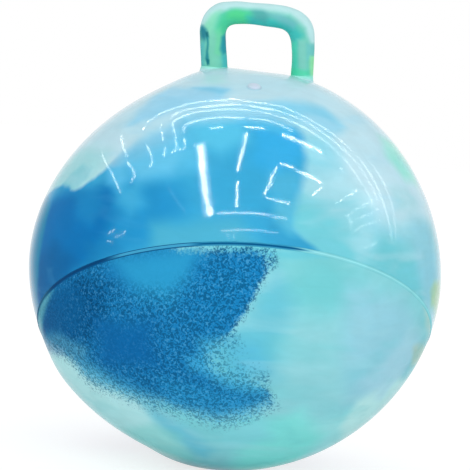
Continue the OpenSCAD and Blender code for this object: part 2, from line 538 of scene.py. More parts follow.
lowerClouds = [
    cloud([(268, 262), (330, 250), (360, 275), (352, 306), (306, 312), (272, 300)], 40, (114, 198, 204), drift=9),
    cloud([(205, 365), (228, 332), (246, 312), (258, 284), (276, 262), (292, 296), (282, 346), (280, 384),
           (240, 384), (210, 378)], 34, (104, 192, 210), drift=8),
    cloud([(222, 344), (262, 340), (270, 372), (230, 380)], 24, (88, 184, 214), strength=0.8),
    cloud([(296, 326), (340, 318), (352, 400), (300, 420), (278, 404), (284, 360)], 40, (140, 206, 214), drift=9),
    cloud([(350, 290), (402, 296), (424, 340), (392, 395), (350, 402), (344, 340)], 40, (144, 202, 218), drift=9),
    cloud([(300, 424), (350, 414), (370, 440), (320, 476), (290, 470)], 36, (156, 222, 226)),
    cloud([(240, 428), (300, 414), (325, 436), (290, 475), (230, 478)], 36, (132, 224, 220)),
    cloud([(150, 380), (215, 404), (260, 408), (270, 440), (215, 450), (170, 440)], 30, (132, 212, 220)),
    # painted light: this cloud low on the left is made paler than the vinyl's own pale, to offset the shade low on
    # the ball near the floor
    cloud([(14, 330), (60, 350), (90, 378), (130, 396), (150, 410), (190, 440), (170, 470), (150, 470), (50, 410)],
          36, (184, 234, 236)),
    cloud([(140, 404), (152, 406), (185, 430), (214, 450), (206, 460), (172, 440), (150, 422)],
          24, (112, 198, 218), strength=0.9),
    # painted light: this cloud low on the right is made paler than the vinyl's own pale, to offset the shade low on
    # the ball near the floor
    cloud([(342, 428), (360, 400), (396, 374), (428, 386), (390, 440), (350, 460)],
          20, (188, 232, 232), strength=0.9),
    cloud([(362, 382), (406, 334), (420, 344), (382, 400)], 24, (162, 210, 226), strength=0.8),
    cloud([(346, 366), (380, 348), (384, 360), (352, 384)], 18, (132, 200, 214), strength=0.6),
    cloud([(34, 330), (50, 334), (66, 346), (64, 356), (44, 352)], 16, (158, 200, 220)),
    cloud([(120, 432), (150, 424), (178, 436), (194, 462), (150, 462)], 22, (132, 214, 210), strength=0.5),
    cloud([(168, 254), (190, 246), (262, 244), (320, 248), (330, 258), (268, 258), (188, 258)],
          8, (104, 196, 210), drift=2),
    cloud([(414, 345), (424, 341), (430, 350), (425, 366), (414, 362)],
          15, (172, 200, 184), strength=0.75, drift=5),
    cloud([(424, 304), (436, 298), (441, 314), (434, 336), (426, 324)], 16, (178, 212, 206), strength=0.8, drift=5),
]
lowerCover = [
    {"outline": [(20, 308), (46, 289), (62, 276), (100, 254), (150, 240), (166, 242), (180, 249), (196, 250.5),
                 (258, 250.5), (269, 255), (268, 262), (265, 272), (259, 283.5), (253, 295), (247, 306.5),
                 (239, 319), (232, 330), (225.5, 341), (218, 352), (210.5, 360.5), (213, 368), (227, 374),
                 (245, 380), (262, 386), (271, 394), (271, 403), (258, 412), (241, 418.5), (216, 422), (188, 413.5),
                 (160, 405), (138, 400), (117, 392), (98.5, 385.5), (88, 381), (80, 373), (76, 365), (69, 359),
                 (60, 353.5), (50, 347), (30, 342), (12, 320)], "drift": 2},
]
lowerMelt = [
    shade([(10, 330), (60, 340), (100, 368), (160, 394), (215, 410), (262, 396), (290, 410), (220, 440), (120, 412),
           (50, 380)], 20, 26),
    shade([(250, 244), (282, 246), (280, 270), (262, 268)], 10, 22),
    shade([(206, 336), (240, 336), (276, 362), (270, 384), (234, 380), (204, 368)], 12, 28),
    shade([(20, 318), (40, 286), (70, 268), (120, 252), (200, 244), (266, 244), (266, 258), (200, 262), (120, 274),
           (60, 300)], 8, 12),
]
lowerDeep = [
    cloud([(110, 258), (190, 244), (206, 256), (194, 283), (166, 304), (140, 294), (122, 274)], 34, (42, 150, 198)),
    cloud([(30, 306), (80, 278), (108, 286), (102, 330), (70, 350), (40, 344)], 34, (12, 96, 152)),
    cloud([(94, 318), (150, 322), (158, 366), (100, 364)], 34, (16, 104, 166)),
    cloud([(196, 264), (268, 250), (264, 276), (244, 306), (212, 336), (186, 316)], 28, (24, 124, 182)),
    cloud([(24, 336), (34, 296), (46, 284), (55, 284), (50, 298), (43, 314), (42, 338)],
          13, (98, 176, 192), strength=0.9),
    cloud([(34, 334), (60, 334), (86, 350), (84, 364), (60, 356), (36, 346)], 20, (84, 160, 194), strength=0.75),
    cloud([(200, 340), (228, 336), (268, 370), (266, 394), (236, 389), (212, 380)],
          24, (78, 180, 216), strength=0.9),
    cloud([(30, 360), (90, 366), (150, 396), (215, 412), (270, 400), (290, 420), (200, 440), (90, 400)],
          34, (98, 188, 220), strength=0.9),
    cloud([(160, 380), (236, 392), (262, 399), (220, 412), (170, 402)], 24, (42, 148, 202), strength=0.8),
    cloud([(186, 358), (200, 353), (216, 356), (220, 370), (204, 374), (190, 371)],
          18, (62, 168, 214), strength=0.75),
]
# where the blue is printed through as dark specks, and where it is smooth
lowerSmooth = [
    shade([(108, 256), (190, 244), (206, 256), (192, 276), (172, 292), (130, 286), (108, 274)], 26, 10),
    shade([(96, 318), (146, 320), (152, 364), (100, 362)], 26, 60),
    shade([(30, 300), (66, 282), (86, 300), (84, 330), (62, 340), (36, 336)], 24, 110),
]

# the side that the photograph doesn't show, drawn as if seen from behind
behindUpperCover = [
    {"outline": [(250, 90), (300, 96), (352, 128), (392, 168), (420, 214), (440, 262), (460, 340), (400, 392),
                 (352, 356), (318, 300), (300, 250), (262, 214), (236, 160), (232, 116)], "drift": 12},
    {"outline": [(100, 198), (118, 184), (142, 181), (160, 194), (171, 216), (180, 246), (172, 276), (150, 297),
                 (124, 297), (100, 281), (85, 254), (86, 222)], "drift": 12},
]
# soft edges all over
behindMelt = [
    shade([(-400, -400), (900, -400), (900, 900), (-400, 900)], 4, 24),
]
behindUpperDeep = [
    cloud([(330, 170), (390, 176), (430, 240), (450, 330), (400, 360), (346, 290), (322, 220)], 44, (22, 118, 188)),
    cloud([(250, 100), (290, 104), (300, 150), (262, 170), (240, 130)], 26, (82, 194, 234)),
]
behindUpperClouds = [
    cloud([(60, 130), (130, 96), (200, 100), (210, 150), (150, 180), (90, 190)], 40, (168, 224, 224)),
    cloud([(180, 200), (240, 190), (270, 260), (230, 330), (180, 320)], 40, (130, 210, 217)),
    cloud([(30, 200), (70, 210), (90, 300), (140, 350), (80, 380), (30, 300)], 36, (150, 206, 226)),
    cloud([(200, 330), (300, 340), (330, 400), (260, 450), (180, 420)], 40, (140, 214, 226)),
]
behindLowerCover = [
    {"outline": [(330, 380), (420, 330), (460, 350), (410, 450), (330, 480), (290, 430)], "drift": 9},
    {"outline": [(90, 410), (150, 396), (214, 430), (200, 480), (120, 470)], "drift": 9},
]
behindLowerDeep = [
    cloud([(340, 390), (410, 350), (430, 380), (380, 440), (330, 440)], 30, (24, 106, 170)),
]
behindLowerClouds = [
    cloud([(200, 400), (280, 390), (300, 460), (240, 480), (190, 450)], 34, (118, 208, 211)),
    cloud([(40, 340), (100, 360), (120, 420), (60, 420)], 30, (152, 206, 227)),
]

# for each attribute its base, the clouds in front and the clouds behind, and what the blue covers on each side
upperPaint = {
    "marble": ((186, 223, 235), upperClouds, behindUpperClouds),
    "pigment": ((54, 163, 208), upperDeep, behindUpperDeep),
    "melt": ((9, 9, 9), upperMelt, behindMelt),
    "covers": (upperCover, behindUpperCover),
    "seed": 3,
}
lowerPaint = {
    "marble": ((134, 206, 214), lowerClouds, behindLowerClouds),
    "pigment": ((26, 122, 180), lowerDeep, behindLowerDeep),
    "melt": ((7, 7, 7), lowerMelt, []),
    "speck": ((255, 255, 255), lowerSmooth, []),
    "covers": (lowerCover, behindLowerCover),
    "seed": 9,
}
paintDrift = {
    "broad": 0.06,            # size of the drift of all painted edges, in metres
    "fine": 0.02,
    "fineShare": 0.45,
    "limb": 84,               # degrees from the camera where the back's paint comes in
    "limbWidth": 26,
    "limbDrift": 12,
}


def dressSkin(piece, paint):
    # front and back are painted on their own charts and melt into each other past the limb
    points = pointsOf(piece)
    drift = (wander(points, paintDrift["broad"], paint["seed"])
             + wander(points, paintDrift["fine"], paint["seed"] + 4) * paintDrift["fineShare"])
    fore, angle = chartOfPoints(points)
    aft, _ = chartOfPoints(points, -1)
    pastLimb = np.degrees(angle) + drift[:, 0] * paintDrift["limbDrift"] - paintDrift["limb"]
    share = smoothShare(pastLimb / paintDrift["limbWidth"])

    def colours(name):
        base, front, behind = paint[name]
        return mixed(painted(fore, base, front, drift, chartOfPixels),
                     painted(aft, base, behind, drift, chartOfPixels), share)

    for name in ("marble", "pigment"):
        storeColour(piece, name, colours(name))
    front, behind = (edgeDepth(spots, covers, drift) for spots, covers in zip((fore, aft), paint["covers"]))
    storeShare(piece, "edge", front + (behind - front) * share)
    storeShare(piece, "melt", colours("melt")[:, 0])
    if "speck" in paint:
        storeShare(piece, "speck", colours("speck")[:, 0] / 255)


addBlownCube()
cutAway(seamPlace + seamHalf, seamNormal, keepAbove=True)
thicken(ball["skinThickness"])
for side in (-1, 1):
    drill((side * handle["legX"], 0, topHeight), (0, 0, 1), handle["tubeRadius"] - handle["holeInset"],
          handle["holeDepth"])
drill(plugSeat, plugAxis, valve["holeRadius"], valve["holeDepth"])
upperSkin = finishPiece("upper_skin", "ball", ["upper_shell"])
dressSkin(upperSkin, upperPaint)
pushOut(upperSkin, swellOf)
print("upper skin", len(upperSkin.data.polygons), "faces")

addBlownCube()
cutAway(seamPlace - seamHalf, seamNormal, keepAbove=False)
cutAway((0, 0, 0), (0, 0, 1), keepAbove=True, fill=True)
thicken(ball["skinThickness"])
lowerSkin = finishPiece("lower_skin", "ball", ["lower_shell"])
dressSkin(lowerSkin, lowerPaint)
pushOut(lowerSkin, sagOf)
print("lower skin", len(lowerSkin.data.polygons), "faces")


# seam band: a soft bead with a groove along each edge

# the seam's tints hold painted light: its dark edges are partly the seam's own dark pigment and partly painted shade
# in the grooves, and its pale core on the right is a painted highlight along the ridge
seamPaint = {
    "core": (62, 156, 196),
    "edge": (14, 82, 128),
    "half": 0.45,             # share of the half width that the core takes up at the left
    "narrower": [(196, 8, 0.15), (280, 50, 0.28)],    # from a pixel, over some pixels, by a share
    "soft": 0.35,
}
# core tints along the seam, pale on the right as a painted highlight along the ridge
seamCoreAndHighlight = [
    cloud([(20, 360), (20, 260), (90, 240), (112, 248), (112, 275), (60, 300)], 22, (2, 66, 114)),
    cloud([(20, 360), (20, 270), (46, 276), (50, 294), (42, 340)], 12, (34, 104, 136), strength=0.8),
    cloud([(196, 235), (304, 235), (310, 262), (196, 262)], 22, (6, 84, 130)),
    cloud([(308, 230), (480, 230), (480, 340), (308, 340)], 20, (152, 222, 230)),
]
# edge tints along the seam, dark partly as painted shade in the grooves
seamEdgeAndShade = [
    cloud([(20, 360), (20, 260), (90, 240), (108, 248), (108, 275), (60, 300)], 16, (8, 90, 148)),
    cloud([(20, 360), (20, 270), (46, 276), (50, 294), (42, 340)], 12, (84, 156, 176), strength=0.85),
    cloud([(196, 235), (300, 235), (300, 262), (196, 262)], 20, (54, 150, 188)),
    cloud([(296, 230), (480, 230), (480, 340), (296, 340)], 20, (130, 208, 216)),
]


def makeSeamBand():
    piece = startRing(seam["segments"], seam["firstRadius"], seamPlace - seamHalf, seamTurn.to_euler())
    drawOut(seamNormal * seam["width"], seam["rows"])
    bpy.ops.object.mode_set(mode='OBJECT')
    points = pointsOf(piece)
    for _ in range(seam["slides"]):           # slides each point out along the seam plane to the skin
        height = aboveSeam(points)
        points = pressToBall(points)
        points += np.outer(height - aboveSeam(points), seamUp)
    share = height / (seam["width"] / 2)
    bead = (seam["proud"] + seam["groove"]) * np.sqrt(np.clip(1 - share ** 2, 0, 1)) - seam["groove"]
    setPoints(piece, points + outwards(points) * bead[:, None])
    editMesh()
    closeEdit()
    thicken(ball["skinThickness"])
    piece = finishPiece("seam_bead", "ball", ["seam_band"])
    points = pointsOf(piece)
    spots = pixelOf(points)
    still = np.zeros((len(points), 2))
    core = painted(spots, seamPaint["core"], seamCoreAndHighlight, still)
    edge = painted(spots, seamPaint["edge"], seamEdgeAndShade, still)
    # the core, and with it the painted highlight, narrows towards the right
    half = seamPaint["half"]
    for start, width, less in seamPaint["narrower"]:
        half = half - less * smoothShare((spots[:, 0] - start) / width)
    height = np.abs(aboveSeam(points)) / (seam["width"] / 2)
    storeColour(piece, "marble", mixed(core, edge, smoothShare((height - half) / seamPaint["soft"])))
    return piece


seamBead = makeSeamBand()
print("seam band", len(seamBead.data.polygons), "faces")


# handle: a ring is drawn up the left leg, over the bar and down the right leg

handleClouds = [
    cloud([(214, 32), (220, 14), (232, 8), (252, 8), (258, 16), (254, 26), (232, 26), (220, 40)],
          12, (78, 204, 156)),
    cloud([(226, 12), (236, 9), (246, 12), (244, 19), (228, 19)], 8, (84, 212, 142), strength=0.8),
    cloud([(248, 16), (275, 17), (292, 22), (304, 34), (298, 46), (284, 36), (270, 30), (250, 28)],
          9, (66, 190, 184)),
    cloud([(252, 8), (264, 7), (270, 14), (264, 22), (254, 20)], 8, (82, 168, 168), strength=0.85),
    cloud([(266, 12), (282, 12), (298, 22), (294, 28), (278, 20)], 8, (110, 186, 192), strength=0.8),
    # painted highlight: the pale band along the top of the bar stands in for light falling on it from above
    cloud([(196, 30), (202, 10), (214, 0), (226, -4), (275, -3), (302, 5), (320, 26), (320, 46), (311, 44),
           (306, 27), (290, 13.5), (262, 8.5), (245, 8), (229, 8), (215, 13.5), (206, 26)], 8, (184, 226, 228)),
    cloud([(202, 30), (210, 14), (220, 10), (216, 26), (212, 46), (206, 46)], 9, (138, 222, 186), strength=0.8),
    cloud([(206, 38), (214, 30), (220, 34), (219, 70), (208, 70)], 8, (120, 204, 178), strength=0.9),
    cloud([(215, 30), (221, 26), (221, 56), (214, 52)], 5, (110, 212, 164), strength=0.7),
    cloud([(199, 25.5), (203, 24.5), (207, 29.5), (207, 37), (203, 41), (199.5, 38)],
          6, (40, 130, 148), strength=0.95),
    cloud([(205.2, 33), (208.2, 32), (208, 37), (205.5, 38)], 2.4, (14, 96, 112), strength=0.8),
    cloud([(205.4, 37), (207.4, 37), (207, 50), (209.4, 61), (208, 64.5), (205, 58)],
          2.4, (36, 134, 146), strength=0.9),
    cloud([(206, 58), (209.5, 59), (210, 64), (207.5, 65)], 2, (20, 112, 124), strength=0.8),
    cloud([(197, 42), (203, 42), (204, 66), (197, 66)], 5, (92, 190, 190)),
    cloud([(220.5, 36), (230, 32), (230, 54), (222, 55), (219.5, 48)], 5, (44, 150, 166), strength=0.95),
    cloud([(221, 56), (230, 54), (230, 72), (222, 72)], 5, (76, 188, 190)),
    cloud([(298, 40), (308, 40), (308, 80), (299, 80)], 7, (124, 202, 188)),
    cloud([(286, 44), (297, 42), (298, 80), (286, 80)], 6, (78, 208, 180)),
    cloud([(307, 44), (316, 44), (316, 56), (308, 60)], 5, (112, 196, 196), strength=0.8),
    cloud([(311, 56), (320, 54), (320, 80), (310.5, 80)], 4, (146, 228, 168), strength=0.9),
    cloud([(282, 66), (300, 68), (310, 70), (310, 75), (284, 76)], 5, (74, 216, 166), strength=0.7),
    # the mint at the foot of each leg matches the collar's top: partly the legs' own tint and partly a painted
    # highlight
    cloud([(190, 67.6), (203, 67.4), (209, 69), (216, 67.6), (223, 69), (232, 67.6), (232, 110), (190, 110)],
          3, (150, 234, 216), drift=3),
    cloud([(280, 74.6), (292, 74.8), (298, 76), (306, 75), (320, 75.6), (320, 110), (280, 110)],
          3, (150, 234, 216), drift=3),
]
handleBehind = [
    # painted highlight: pale along the top of the bar on the back as well
    cloud([(210, -4), (300, -4), (318, 30), (290, 16), (240, 10)], 8, (176, 224, 222)),
    cloud([(260, 4), (300, 10), (312, 40), (290, 36), (262, 22)], 9, (84, 212, 158)),
    cloud([(196, 20), (212, 24), (214, 50), (198, 60)], 8, (70, 190, 188)),
    cloud([(296, 44), (306, 40), (308, 74), (298, 70)], 5, (48, 150, 168), strength=0.8),
]
handlePaint = {
    "front": (106, 198, 180),
    "behind": (112, 204, 186),
    "drift": (0.02, 6, 0.5),          # of painted edges: size in metres, seed, strength
    "backDrift": (0.009, 11, 1.6),    # more of it away from the photograph's side
    "backFrom": -0.007,
    "backWidth": 0.01,
    "border": (0.011, 15, 0.008),     # between front and back
    "borderWidth": 0.008,
    "borderShare": 0.2,
}
# the handle's outer and inner edge in the photograph, station by station from the left foot to the right
handleEdges = [
    ((202.0, 96.0), (228.8, 92.0)),
    ((201.5, 78.0), (228.0, 74.0)),
    ((200.8, 58.0), (227.1, 58.0)),
    ((199.9, 38.0), (226.0, 42.0)),
    ((200.2, 25.0), (226.1, 31.0)),
    ((205.6, 11.8), (229.0, 25.9)),
    ((216.3, 3.0), (233.4, 23.9)),
    ((233.0, 0.4), (239.5, 23.3)),
    ((253.0, 1.8), (252.0, 23.6)),
    ((274.0, 3.4), (267.0, 25.8)),
    ((290.4, 6.3), (277.0, 27.2)),
    ((302.4, 11.6), (283.6, 29.0)),
    ((310.0, 18.8), (288.2, 32.8)),
    ((314.1, 28.4), (290.7, 39.0)),
    ((314.9, 42.0), (291.8, 48.0)),
    ((314.2, 60.0), (292.0, 60.0)),
    ((313.2, 78.0), (291.0, 73.0)),
    ((312.2, 100.0), (290.0, 96.0)),
]


def onArchPlane(pixels):
    # where pixels fall on the upright plane through the handle, as x and z
    rays = raysThrough(pixels)
    spots = eye - rays * (eye[1] / rays[:, 1])[:, None]
    return spots[:, [0, 2]]


outerEdge, innerEdge = (onArchPlane([pair[side] for pair in handleEdges]) for side in (0, 1))


def throughStations(marks, values, at):
    # smooth curve through the stations' values
    slopes = np.gradient(values, marks, axis=0)
    index = np.clip(np.searchsorted(marks, at) - 1, 0, len(marks) - 2)
    span = marks[index + 1] - marks[index]
    t = ((at - marks[index]) / span)[:, None]
    span = span[:, None]
    return ((1 + 2 * t) * (1 - t) ** 2 * values[index] + t * (1 - t) ** 2 * span * slopes[index]
            + t * t * (3 - 2 * t) * values[index + 1] + t * t * (t - 1) * span * slopes[index + 1])


def archPlaces(points, foot):
    # share of the way along the plain arch, and the distance outwards from its centreline
    x, z = points[:, 0], points[:, 2]
    left, right = handle["leftBend"], handle["rightBend"]
    leftX, leftZ = left - handle["legX"], barHeight - left
    rightX, rightZ = handle["legX"] - right, barHeight - right
    toArc = leftZ - foot
    toBar = toArc + left * math.pi / 2
    toFarArc = toBar + rightX - leftX
    toFarLeg = toFarArc + right * math.pi / 2
    low = z <= np.where(x < 0, leftZ, rightZ)
    places = [
        ((x < leftX) & low, z - foot, -x - handle["legX"]),
        (x < leftX, toArc + left * np.arctan2(z - leftZ, leftX - x), np.hypot(x - leftX, z - leftZ) - left),
        ((x > rightX) & low, toFarLeg + rightZ - z, x - handle["legX"]),
        (x > rightX, toFarArc + right * np.arctan2(x - rightX, z - rightZ),
         np.hypot(x - rightX, z - rightZ) - right),
    ]
    where = [place[0] for place in places]
    along = np.select(where, [place[1] for place in places], toBar + x - leftX)
    out = np.select(where, [place[2] for place in places], z - barHeight)
    return along / (toFarLeg + rightZ - foot), out


def shapeAsSeen(piece, foot):
    # leans and thickens the plain arch so that its edges run as in the photograph
    centres, halves = (outerEdge + innerEdge) / 2, (outerEdge - innerEdge) / 2
    marks = np.concatenate([[0], np.cumsum(np.hypot(*np.diff(centres, axis=0).T))])
    points = pointsOf(piece)
    along, out = archPlaces(points, foot)
    start, end = np.interp(foot, centres[:2, 1], marks[:2]), np.interp(-foot, -centres[-2:, 1], marks[-2:])
    both = throughStations(marks, np.concatenate([centres, halves], axis=1), start + along * (end - start))
    share = out / handle["tubeRadius"]
    points[:, 0] = both[:, 0] + both[:, 2] * share
    points[:, 2] = both[:, 1] + both[:, 3] * share
    setPoints(piece, points)


def bend(steps, centreX, radius):
    # turns the open end a quarter round towards the right
    bpy.ops.mesh.spin(steps=steps, angle=math.pi / 2, axis=(0, -1, 0), center=(centreX, 0, barHeight - radius))


def makeHandle():
    foot = float(skinHeight(-handle["legX"] - handle["tubeRadius"], 0)) - ball["skinThickness"] - handle["reach"]
    left, right = handle["leftBend"], handle["rightBend"]
    piece = startRing(handle["around"], handle["tubeRadius"], (-handle["legX"], 0, foot))
    drawOut(Vector((0, 0, barHeight - left - foot)), handle["legSteps"])
    bend(handle["leftSteps"], left - handle["legX"], left)
    drawOut(Vector((2 * handle["legX"] - left - right, 0, 0)), handle["barSteps"])
    bend(handle["rightSteps"], handle["legX"] - right, right)
    drawOut(Vector((0, 0, foot + right - barHeight)), handle["legSteps"])
    closeEdit(merge=True)
    shapeAsSeen(piece, foot)
    thicken(handle["wall"])
    applyModifier('SUBSURF', levels=1, render_levels=1)
    piece = finishPiece("loop_handle", "ball", ["handle"], angle=60)
    points = pointsOf(piece)
    depth = points[:, 1]

    def drifted(name):
        size, seed, strength = handlePaint[name]
        return wander(points, size, seed) * strength

    turned = smoothShare((depth - handlePaint["backFrom"]) / handlePaint["backWidth"])
    drift = drifted("drift") + drifted("backDrift") * turned[:, None]
    fore = painted(pixelOf(points), handlePaint["front"], handleClouds, drift)
    aft = painted(pixelOf(points), handlePaint["behind"], handleBehind, drift)
    share = (depth + drifted("border")[:, 0]) / handlePaint["borderWidth"] + handlePaint["borderShare"]
    storeColour(piece, "marble", mixed(fore, aft, smoothShare(share)))
    return piece


loopHandle = makeHandle()
print("handle", len(loopHandle.data.polygons), "faces")


# collars: a thin ring of skin vinyl round each leg, drawn out softly onto the ball

collar = {
    "leftRise": -0.001,       # from the skin on the grip side
    "rightRise": 0.0004,
    "leastRise": 0.0004,      # above the skin all round
    "wall": 0.00015,
    "flare": 0.002,
    "inset": 0.0006,          # starts inside the leg's wall
    "lipDrops": (0.001, 0.0001, 0.0005),      # of the first three rings below the collar's top
    "rowDrop": 0.0003,
    "rows": 14,
    "around": 96,
    "hug": 3.2,               # hugs the leg, then runs out along the skin
    "sink": 0.00015,          # of the outer edge below the skin
    "legLook": 0.002,         # above the skin, where the leg's width is read
    # the collar's mint top is partly its own vinyl and partly a painted highlight of the bright band at the leg's
    # foot
    "topTintAndHighlight": (150, 232, 216),
    "footTint": (190, 224, 232),
    "tintDepth": 0.006,
}


def legAt(side):
    # middle and half width of a leg at the height where it meets the skin
    ends = slice(0, 3) if side < 0 else slice(-1, -4, -1)
    height = float(skinHeight(side * handle["legX"], 0)) + collar["legLook"]
    across = [np.interp(height, edge[ends, 1], edge[ends, 0]) for edge in (outerEdge, innerEdge)]
    return sum(across) / 2, abs(across[0] - across[1]) / 2


def makeCollar(side, name, node):
    centreX, half = legAt(side)
    radius = handle["tubeRadius"]
    top = float(skinHeight(centreX - side * half, 0)) + collar["leftRise" if side < 0 else "rightRise"]
    first, second, third = collar["lipDrops"]
    now = radius - collar["inset"]
    piece = startRing(collar["around"], now, (centreX, 0, top - first))
    rings = [(radius + collar["wall"] * 0.5, second - first), (radius + collar["wall"], third - second)]
    rings += [(radius + collar["wall"] + collar["flare"] * row / collar["rows"], collar["rowDrop"])
              for row in range(1, collar["rows"] + 1)]
    for wide, drop in rings:
        drawOut(Vector((0, 0, -drop)))
        bpy.ops.transform.resize(value=(wide / now, wide / now, 1), center_override=(centreX, 0, top))
        now = wide
    bpy.ops.object.mode_set(mode='OBJECT')
    points = pointsOf(piece)
    rows = np.arange(len(points)) // collar["around"]
    share = np.clip((rows - 2) / collar["rows"], 0, 1)
    points[:, 0] = centreX + (points[:, 0] - centreX) * (half / radius)      # the leg is wider than it is deep
    skin = skinHeight(points[:, 0], points[:, 1])
    turn = np.arctan2(points[:, 1], points[:, 0] - centreX)
    ring = skinHeight(centreX + half * np.cos(turn), radius * np.sin(turn)) + collar["leastRise"]
    ring = np.maximum(top, ring)
    flared = skin - collar["sink"] + np.maximum(ring - skin, collar["leastRise"]) * (1 - share) ** collar["hug"]
    points[:, 2] = np.where(rows > 2, flared, points[:, 2] + ring - top)
    setPoints(piece, points)
    editMesh()
    closeEdit()
    applyModifier('SUBSURF', levels=1, render_levels=1)
    piece = finishPiece(name, "ball", [node], angle=70)
    # the painted highlight at the top fades into the skin's tint lower down
    depth = smoothShare((top - pointsOf(piece)[:, 2]) / collar["tintDepth"])
    topTintAndHighlight, footTint = np.array(collar["topTintAndHighlight"], float), np.array(collar["footTint"], float)
    storeColour(piece, "marble", mixed(topTintAndHighlight, footTint, depth))
    return piece


leftCollar = makeCollar(-1, "left_foot_collar", "left_collar")
rightCollar = makeCollar(1, "right_foot_collar", "right_collar")
print("collars made")


# air plug: a low soft dome on a grooved stem

plug = {
    "headRadius": 0.007,
    "headHeight": 0.0024,
    "domeShare": 0.93,        # of the head's radius
    "domeFoot": 0.0009,
    "domeSteps": 10,
    "rim": [(0.975, 0.00072), (1, 0.0004), (0.985, 0.0001), (0.95, 0)],      # shares of the radius and heights
    "stemRadius": 0.00395,
    "stemLength": 0.014,
    "stemRound": 0.0003,
    "grooves": 3,
    "groove": [(0, 0.0001), (0.00045, -0.0003), (0.00045, -0.0011), (0, -0.0014)],      # depths and heights
    "tip": [(0, 0.0008), (0.0006, 0)],        # the same from the stem's end
    "seatRise": 0.0004,
    "around": 64,
}


def plugOutline():
    # side view of the plug from the top of its dome to the end of its stem
    head, foot, stem = plug["headRadius"], plug["domeFoot"], plug["stemRadius"]
    line = [(0, plug["headHeight"])]
    for step in range(1, plug["domeSteps"] + 1):
        turn = math.pi / 2 * step / plug["domeSteps"]
        line.append((head * plug["domeShare"] * math.sin(turn), foot + (plug["headHeight"] - foot) * math.cos(turn)))
    line += [(head * share, height) for share, height in plug["rim"]]
    line += [(stem + plug["stemRound"], 0), (stem, -plug["stemRound"])]
    pitch = plug["stemLength"] / (plug["grooves"] + 2)
    for mark in range(1, plug["grooves"] + 1):
        line += [(stem - depth, height - mark * pitch) for depth, height in plug["groove"]]
    line += [(stem - depth, height - plug["stemLength"]) for depth, height in plug["tip"]]
    return line + [(0, -plug["stemLength"])]


def makePlug():
    bpy.ops.object.select_all(action='DESELECT')
    bpy.ops.mesh.primitive_plane_add(size=0.01, location=(0, 0, 0))
    piece = bpy.context.object
    editMesh()
    bpy.ops.mesh.merge(type='CENTER')
    corners = [Vector((radius, 0, height)) for radius, height in plugOutline()]
    bpy.ops.transform.translate(value=corners[0])
    for before, corner in zip(corners, corners[1:]):      # the lone point is drawn out along the plug's side view
        drawOut(corner - before)
    bpy.ops.mesh.select_all(action='SELECT')
    bpy.ops.mesh.spin(steps=plug["around"], angle=2 * math.pi, axis=(0, 0, 1), center=(0, 0, 0))
    closeEdit(merge=True)
    piece.location = plugSeat + plugAxis * plug["seatRise"]
    piece.rotation_euler = (plugAngle, 0, 0)
    return finishPiece("air_plug", "plug", ["plug"], angle=40)


airPlug = makePlug()
print("plug", len(airPlug.data.polygons), "faces")


# materials

gloss = {
    "rough": 0.4,
    "coat": 0.14,
    "rimCoat": 0.85,          # the coat at the ball's rim, where the room lights it from the side
    "rimFrom": 0.68,
    "rimTo": 0.9,
    "ior": 1.5,
    "coatRough": 0.06,
    "blur": 0.6,              # pixels that this roughness blurs a mirrored lamp
    "peel": 70.0,             # scale of the slight orange peel
    "peelStrength": 0.035,
    "peelDepth": 0.002,
    "light": (0.94, 1.05),    # darkest and palest flow lines
}
flow = {
    "turn": (0.5, 0.35, 0.0),
    "stretch": (1.0, 1.0, 3.2),
    "streaks": (13.0, 2.5, 0.6),      # scale, detail and distortion
    "broad": (14.0, 3.0, 1.8),
    "broadShare": 0.55,
    "fine": (34.0, 5.0, 0.9),
    "from": 0.3,
    "to": 0.7,
}
# washes: a tint, the noise values between which it comes in, and the most of it
upperFinish = {
    "pale": [((206, 231, 241), 0.46, 0.72, 0.22), ((128, 204, 232), 0.5, 0.3, 0.2)],
    "deep": [((90, 184, 224), 0.5, 0.8, 0.16)],
    "warps": [(30.0, 10.0), (110.0, 1.5)],    # of the painted edge: noise scale and width in millimetres
}
lowerFinish = {
    "pale": [((170, 220, 228), 0.48, 0.72, 0.25), ((104, 200, 206), 0.5, 0.3, 0.22)],
    "warps": [(80.0, 6.0)],
    "fray": (420.0, 1.3),     # noise scale and share: wide where the edge is soft, narrow where it is crisp
    "light": (0.95, 1.05),
    "grain": (400.0, 0.6, 0.9),
    "darkSpecks": (0.5, 0.56, 0.8),           # grain values between which they come in, and the most of them
    "paleSpecks": (0.4, 0.3, 0.36),
    "darkLevel": 0.46,
    "paleTint": (0.16, 0.52, 0.72, 1.0),
    "paleShare": 0.6,
    "near": -0.9,             # specks run this far past the blue's edge
    "rough": 0.55,
    "specular": 0.015,
    "rim": (0.76, 0.97, 0.0, 0.6),            # coat at the ball's rim
    "coatRough": 0.25,
    "grainStrength": 0.15,
    "grainDepth": 0.0004,
}
coats = {                     # weight and roughness
    "seamVinyl": (0.08, 0.12),
    "handleVinyl": (0.16, 0.15),
    "collarVinyl": (0.12, 0.1),
}
plainFinish = {
    "valveVinyl": ((176, 212, 226), (184, 219, 232)),
    "plugVinyl": ((192, 214, 228), (202, 216, 234)),
    "drift": (60.0, 3.0, 0.8),
    "rough": 0.45,
    "specular": 0.2,
    "coat": 0.05,
    "coatRough": 0.12,
    "marks": (700.0, 2.0),    # fine moulding marks
    "markStrength": 0.1,
    "markDepth": 0.0003,
}


def feed(tree, node, inputs):
    # sets sockets to values, or links them to other sockets
    for key, value in inputs.items():
        socket = node.inputs[key]
        if isinstance(value, bpy.types.NodeSocket):
            tree.links.new(value, socket)
        else:
            socket.default_value = value


def addNode(tree, kind, inputs=None, **settings):
    node = tree.nodes.new(kind)
    for key, value in settings.items():
        setattr(node, key, value)
    feed(tree, node, inputs or {})
    return node


def newMaterial(name):
    material = bpy.data.materials.new(name)
    material.use_nodes = True
    tree = material.node_tree
    tree.nodes.clear()
    return material, tree


